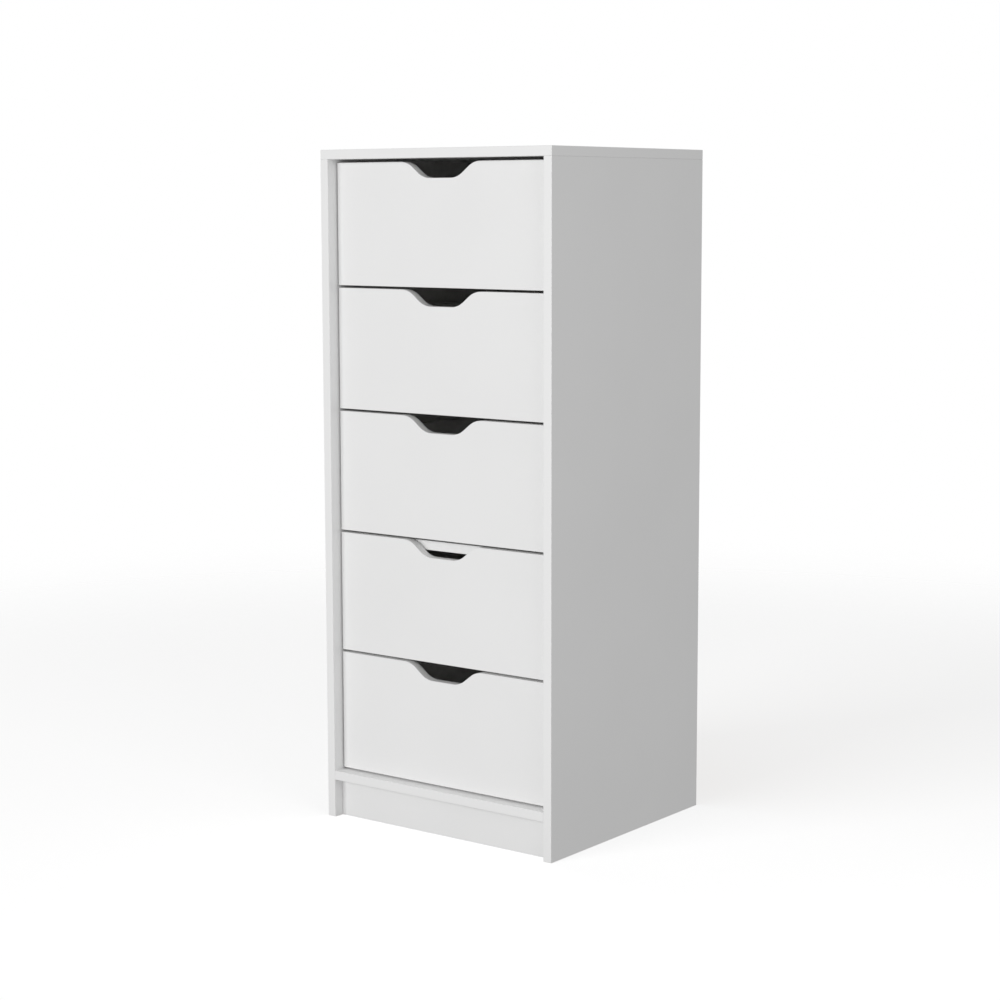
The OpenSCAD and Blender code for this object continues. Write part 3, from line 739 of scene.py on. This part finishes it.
def drawer_runner_holes(front):
    """The screw holes and spare slots in a drawer runner's foot, and the holes in its web."""
    holes = bmesh.new()
    for offset in DRAWER_SCREW_YS:
        hole = circle((DRAWER_SCREW_U, front + offset), SCREW_HOLE_RADIUS)
        prism(holes, hole, FOOT_Z - PAST, FOOT_TOP + PAST)
    for offset in DRAWER_SLOT_YS:
        turned = [(DRAWER_SCREW_U + y, front + offset + x) for x, y in slot(0, 0)]
        prism(holes, turned, FOOT_Z - PAST, FOOT_TOP + PAST)
    for offset in WEB_HOLE_YS:
        hole = circle((front + offset, WEB_HOLE_Z), WEB_HOLE_RADIUS)
        prism(holes, hole, CARCASE_GAP - SHEET - PAST, CARCASE_GAP + PAST, ALONG_U)
    return holes


def drawer_runner_mesh():
    """A rolled angle under the drawer side with the lip over the front roller, in the runner's frame."""
    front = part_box("drawer_1_runners")[0].y
    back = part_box("drawer_1_right_side")[1].y
    axis_y, axis_z, _ = roller_axis("drawer_1_rear_rollers")
    axis_z -= base_line(1)
    web, foot, lip = CARCASE_GAP - SHEET / 2, FOOT_TOP - SHEET / 2, LIP_BOTTOM + SHEET / 2
    path = [(FOOT_END, foot), (web, foot), (web, lip), (LIP_START, lip)]
    bm = bmesh.new()
    prism(bm, bent_outline(path, SHEET, DRAWER_BEND), front, back, ALONG_Y)
    mesh = combined(to_mesh(bm, "drawer_runner"), "DIFFERENCE", drawer_runner_holes(front))
    seat = Matrix.Translation((CARCASE_GAP - SHEET, axis_y, axis_z)) @ Matrix.Rotation(-math.pi / 2, 4, "Y")
    return with_rivet(mesh, seat, "drawer_runner")


def make_runners():
    """All runners from two master meshes."""
    master = carcase_runner_mesh()
    for word, side in SIDES.items():
        bm = bmesh.new()
        for n in DRAWERS:
            stamp(bm, master, runner_place(n, side))
        name = f"{word}_carcase_runner_set"
        ease_edges(add_piece(name, to_mesh(bm, name), EPOXY, f"{word}_carcase_runners"), SHEET_EDGE)
    master = drawer_runner_mesh()
    for n in DRAWERS:
        bm = bmesh.new()
        for side in SIDES.values():
            stamp(bm, master, runner_place(n, side))
        name = f"drawer_{n}_runner_pair"
        ease_edges(add_piece(name, to_mesh(bm, name), EPOXY, f"drawer_{n}_runners"), SHEET_EDGE)


# ---------------------------------------------------------------- rollers

BORE_RADIUS = 2.05 * MM
HUB_RADIUS = 3.9 * MM
RIM_THICKNESS = 1.7 * MM
WEB_RECESS = 1.5 * MM
RIB_COUNT = 6
RIB_THICKNESS = 0.9 * MM
RIB_OVERLAP = 0.5 * MM          # of a rib into the hub and the rim, and its depth below their faces
MOULD_DRAFT = 0.2 * MM
RIM_DROP = 0.1 * MM             # of the rim's face below the hub's face
TREAD_EASE = 0.7 * MM           # from the tread in to where the rim's face is flat
TREAD_EDGE = 1.3 * MM           # from the hub's face down to where the tread is flat
TREAD_CORNER_IN = 0.25 * MM     # of the point between the two, from the tread
TREAD_CORNER_DOWN = 0.45 * MM   # and from the hub's face


def roller_profile(radius):
    """One half of a roller's section, from the bore's edge over the hub, web and rim to the tread."""
    half = ROLLER_WIDTH / 2
    rim = radius - RIM_THICKNESS
    web = half - WEB_RECESS
    return [(BORE_RADIUS, half - MOULD_DRAFT),
            (BORE_RADIUS + MOULD_DRAFT, half),
            (HUB_RADIUS, half),
            (HUB_RADIUS + MOULD_DRAFT, web),
            (rim - MOULD_DRAFT, web),
            (rim, half - RIM_DROP),
            (radius - TREAD_EASE, half - RIM_DROP),
            (radius - TREAD_CORNER_IN, half - TREAD_CORNER_DOWN),
            (radius, half - TREAD_EDGE)]


def roller_mesh(radius):
    """A moulded roller: tread with rounded edges, thin web, hub round the bore and ribs on both faces."""
    upper = roller_profile(radius)
    bm = bmesh.new()
    lathe(bm, upper + [(r, -h) for r, h in reversed(upper)], bored=True)
    mesh = to_mesh(bm, "roller")
    ribs = bmesh.new()
    inner = HUB_RADIUS - RIB_OVERLAP
    outer = radius - RIM_THICKNESS + RIB_OVERLAP
    reach = ROLLER_WIDTH / 2 - RIB_OVERLAP
    half = RIB_THICKNESS / 2
    for k in range(RIB_COUNT):
        spoke = Matrix.Rotation(2 * math.pi * k / RIB_COUNT, 4, "Z")
        prism(ribs, [(inner, -half), (outer, -half), (outer, half), (inner, half)], -reach, reach, spoke)
    return combined(mesh, "UNION", ribs)


def make_rollers():
    """Each drawer's pair of front rollers and pair of rear rollers, from two master meshes."""
    lying = Matrix.Rotation(math.pi / 2, 4, "Y")
    for kind in ("front", "rear"):
        first = f"drawer_1_{kind}_rollers"
        master = roller_mesh(roller_axis(first)[2])
        middle_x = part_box(first)[1].x - ROLLER_WIDTH / 2
        for n in DRAWERS:
            node = f"drawer_{n}_{kind}_rollers"
            axis_y, axis_z, _ = roller_axis(node)
            bm = bmesh.new()
            for side in SIDES.values():
                stamp(bm, master, Matrix.Translation((side * middle_x, axis_y, axis_z)) @ lying)
            name = f"drawer_{n}_{kind}_roller_pair"
            even_normals(add_piece(name, to_mesh(bm, name), NYLON, node))


# ---------------------------------------------------------------- screws and nails

SCREW_RADIUS = 1.75 * MM
SCREW_HEAD_RADIUS = 3.5 * MM
SCREW_HEAD_HEIGHT = 1.2 * MM
SCREW_LENGTH = 12.0 * MM
SCREW_RIM = 0.4                 # straight share of a screw head's height
SCREW_DOME_ANGLES = (0, 15, 30, 45, 60, 75)
SCREW_STEPS = 32
THREAD_CORE = 0.7               # of the shank's radius
THREAD_PITCH = 1.4 * MM
THREAD_TURNS = 6
POINT_LENGTH = 2.4 * MM
NECK_LENGTH = 0.2 * MM
HEAD_FOOT = 0.98                # of the head's radius, where the head starts
RECESS_REACH = 1.9 * MM
RECESS_WIDTH = 0.75 * MM
RECESS_FLOOR = 0.25             # of the head's height
TURN_PER_SCREW = math.radians(37)       # between the recesses of a runner's screws
TURN_PER_DRAWER = math.radians(23)
NAIL_RADIUS = 0.9 * MM
NAIL_HEAD_RADIUS = 2.3 * MM
NAIL_HEAD_HEIGHT = 0.8 * MM
NAIL_LENGTH = 20.0 * MM
NAIL_POINT_LENGTH = 2.5 * MM
NAIL_NECK_LENGTH = 0.3 * MM
NAIL_RIM_DROP = 0.25 * MM       # below the middle of the head, as is the next
NAIL_SHOULDER_DROP = 0.08 * MM
NAIL_SHOULDER = 0.8             # of the head's radius, as is the next
NAIL_FLAT = 0.4
NAIL_STEPS = 24
SIDE_NAILS = 8
BOTTOM_NAIL_XS = (-140 * MM, 0, 140 * MM)


def screw_mesh():
    """A pan-head screw with a cross recess and a ridged shank. Its head starts at height 0."""
    core = SCREW_RADIUS * THREAD_CORE
    tip = SHEET - SCREW_LENGTH
    ridges = []
    for k in range(THREAD_TURNS):
        z = tip + POINT_LENGTH + k * THREAD_PITCH
        ridges += [(core, z), (SCREW_RADIUS, z + THREAD_PITCH / 2)]
    neck = [(core, -NECK_LENGTH), (SCREW_HEAD_RADIUS * HEAD_FOOT, 0)]
    head = dome(SCREW_HEAD_RADIUS, SCREW_HEAD_HEIGHT * SCREW_RIM, SCREW_HEAD_HEIGHT, SCREW_DOME_ANGLES)
    bm = bmesh.new()
    lathe(bm, [(0, tip)] + ridges + neck + head + [(0, SCREW_HEAD_HEIGHT)], steps=SCREW_STEPS)
    recess = bmesh.new()
    cross = cross_outline(RECESS_REACH, RECESS_WIDTH)
    prism(recess, cross, SCREW_HEAD_HEIGHT * RECESS_FLOOR, SCREW_HEAD_HEIGHT * 2)
    return combined(to_mesh(bm, "screw"), "DIFFERENCE", recess)


def make_runner_screws():
    """The screws that hold the carcase runners, each with its recess turned its own way."""
    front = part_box("right_carcase_runners")[0].y
    master = screw_mesh()
    head_out = Matrix.Rotation(math.pi / 2, 4, "Y")
    bm = bmesh.new()
    for n in DRAWERS:
        screw_z = roller_axis(f"drawer_{n}_front_rollers")[1] - base_line(n) - SCREW_DROP
        for side in SIDES.values():
            for k, offset in enumerate(CARCASE_SCREW_YS):
                turn = Matrix.Rotation(TURN_PER_SCREW * k + TURN_PER_DRAWER * n, 4, "Z")
                seat = Matrix.Translation((SHEET, front + offset, screw_z)) @ head_out @ turn
                stamp(bm, master, runner_place(n, side) @ seat)
    name = "carcase_runner_screws"
    even_normals(add_piece(name, to_mesh(bm, name), ZINC, "runner_screws"))


def nail_profile():
    """A nail with a slightly domed head, whose top is at height 0."""
    return [(0, -NAIL_LENGTH),
            (NAIL_RADIUS, NAIL_POINT_LENGTH - NAIL_LENGTH),
            (NAIL_RADIUS, -NAIL_HEAD_HEIGHT - NAIL_NECK_LENGTH),
            (NAIL_HEAD_RADIUS, -NAIL_HEAD_HEIGHT),
            (NAIL_HEAD_RADIUS, -NAIL_RIM_DROP),
            (NAIL_HEAD_RADIUS * NAIL_SHOULDER, -NAIL_SHOULDER_DROP),
            (NAIL_HEAD_RADIUS * NAIL_FLAT, 0),
            (0, 0)]


def make_back_nails():
    """Two columns of nails into the sides and a row into the bottom panel, pointing forward."""
    panel_low, panel_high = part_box("back_panel")
    nails_low, nails_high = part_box("back_panel_nails")
    column_x = nails_high.x - NAIL_HEAD_RADIUS
    row_z = nails_low.z + NAIL_HEAD_RADIUS
    last_z = nails_high.z - NAIL_HEAD_RADIUS
    first_z = panel_low.z + panel_high.z - last_z
    places = [(x, row_z) for x in BOTTOM_NAIL_XS]
    for k in range(SIDE_NAILS):
        z = first_z + (last_z - first_z) * k / (SIDE_NAILS - 1)
        places += [(-column_x, z), (column_x, z)]
    forward = Matrix.Rotation(-math.pi / 2, 4, "X")
    bm = bmesh.new()
    for x, z in places:
        lathe(bm, nail_profile(), Matrix.Translation((x, panel_high.y, z)) @ forward, steps=NAIL_STEPS)
    even_normals(add_piece("back_nails", to_mesh(bm, "back_nails"), ZINC, "back_panel_nails"))


def dress_cad_nodes():
    """Gives the fittings that keep their CAD shape their materials."""
    finish = {"zinc_plated_steel": ZINC, "beech": BEECH}
    for node, slot_name in SLOT_OF.items():
        if slot_name in finish:
            NODES[node].data.materials.clear()
            NODES[node].data.materials.append(finish[slot_name])


# ---------------------------------------------------------------- studio

FLOOR_RADIUS = 3.2
FLOOR_FADE_START = 1.3
FLOOR_TONE = 0.80
FLOOR_GLOW = 0.54
WORLD_LIGHT = 0.40
WORLD_SEEN = 1.0
LIGHT_BOUNCES = 16      # enough for the light inside the closed white carcase
LIGHT_TARGET = (0.0, 0.0, 0.55)
KEY_PLACE = (-2.4, -10.3, 2.4)
KEY_SIZE = 6.0
KEY_POWER = 530.0
FILL_PLACE = (2.2, -1.0, 1.1)
FILL_SIZE = 1.4
FILL_POWER = 8.8


def floor_material():
    """A pale, slightly lit floor that fades out towards its rim."""
    material = bpy.data.materials.new("floor")
    material.use_nodes = True
    tree = material.node_tree
    tree.nodes.clear()
    output = tree.nodes.new("ShaderNodeOutputMaterial")
    blend = tree.nodes.new("ShaderNodeMixShader")
    matt = tree.nodes.new("ShaderNodeBsdfPrincipled")
    matt.inputs["Base Color"].default_value = (FLOOR_TONE, FLOOR_TONE, FLOOR_TONE, 1.0)
    matt.inputs["Roughness"].default_value = 0.9
    matt.inputs["Specular IOR Level"].default_value = 0.0
    matt.inputs["Emission Color"].default_value = (1.0, 1.0, 1.0, 1.0)
    matt.inputs["Emission Strength"].default_value = FLOOR_GLOW
    clear = tree.nodes.new("ShaderNodeBsdfTransparent")
    place = tree.nodes.new("ShaderNodeTexCoord")
    reach = tree.nodes.new("ShaderNodeVectorMath")
    reach.operation = "LENGTH"
    fade = tree.nodes.new("ShaderNodeMapRange")
    fade.interpolation_type = "SMOOTHERSTEP"
    fade.inputs["From Min"].default_value = FLOOR_FADE_START
    fade.inputs["From Max"].default_value = FLOOR_RADIUS
    tree.links.new(place.outputs["Object"], reach.inputs[0])
    tree.links.new(reach.outputs["Value"], fade.inputs["Value"])
    tree.links.new(fade.outputs["Result"], blend.inputs[0])
    tree.links.new(matt.outputs[0], blend.inputs[1])
    tree.links.new(clear.outputs[0], blend.inputs[2])
    tree.links.new(blend.outputs[0], output.inputs["Surface"])
    return material


def make_floor():
    """A pale disc under the chest. It adds no light of its own to the chest."""
    bm = bmesh.new()
    bmesh.ops.create_circle(bm, cap_ends=True, radius=FLOOR_RADIUS, segments=96)
    mesh = bpy.data.meshes.new("floor")
    bm.to_mesh(mesh)
    bm.free()
    mesh.materials.append(floor_material())
    floor = bpy.data.objects.new("floor", mesh)
    floor.location.z = cad_low.z
    floor.visible_diffuse = False
    floor.visible_glossy = False
    bpy.context.scene.collection.objects.link(floor)


def make_world():
    """A dim even sky as light, and plain white where the camera sees past the floor."""
    world = bpy.data.worlds.new("studio")
    world.use_nodes = True
    tree = world.node_tree
    tree.nodes.clear()
    output = tree.nodes.new("ShaderNodeOutputWorld")
    blend = tree.nodes.new("ShaderNodeMixShader")
    ray = tree.nodes.new("ShaderNodeLightPath")
    tree.links.new(ray.outputs["Is Camera Ray"], blend.inputs[0])
    for socket, strength in ((1, WORLD_LIGHT), (2, WORLD_SEEN)):
        background = tree.nodes.new("ShaderNodeBackground")
        background.inputs["Color"].default_value = (1.0, 1.0, 1.0, 1.0)
        background.inputs["Strength"].default_value = strength
        tree.links.new(background.outputs[0], blend.inputs[socket])
    tree.links.new(blend.outputs[0], output.inputs["Surface"])
    bpy.context.scene.world = world


def make_light(name, place, size, power):
    """A square soft box that faces the chest."""
    data = bpy.data.lights.new(name, "AREA")
    data.shape = "SQUARE"
    data.size = size
    data.energy = power
    light = bpy.data.objects.new(name, data)
    light.location = place
    light.rotation_mode = "QUATERNION"
    light.rotation_quaternion = (Vector(LIGHT_TARGET) - Vector(place)).to_track_quat("-Z", "Y")
    bpy.context.scene.collection.objects.link(light)


def make_studio():
    scene = bpy.context.scene
    scene.view_settings.view_transform = "Standard"
    scene.cycles.max_bounces = LIGHT_BOUNCES
    scene.cycles.diffuse_bounces = LIGHT_BOUNCES
    make_floor()
    make_world()
    make_light("key", KEY_PLACE, KEY_SIZE, KEY_POWER)
    make_light("fill", FILL_PLACE, FILL_SIZE, FILL_POWER)


# ---------------------------------------------------------------- build

make_camera()
make_carcase_boards()
for drawer in DRAWERS:
    make_drawer_box(drawer)
make_runners()
make_rollers()
make_runner_screws()
make_back_nails()
dress_cad_nodes()
make_studio()
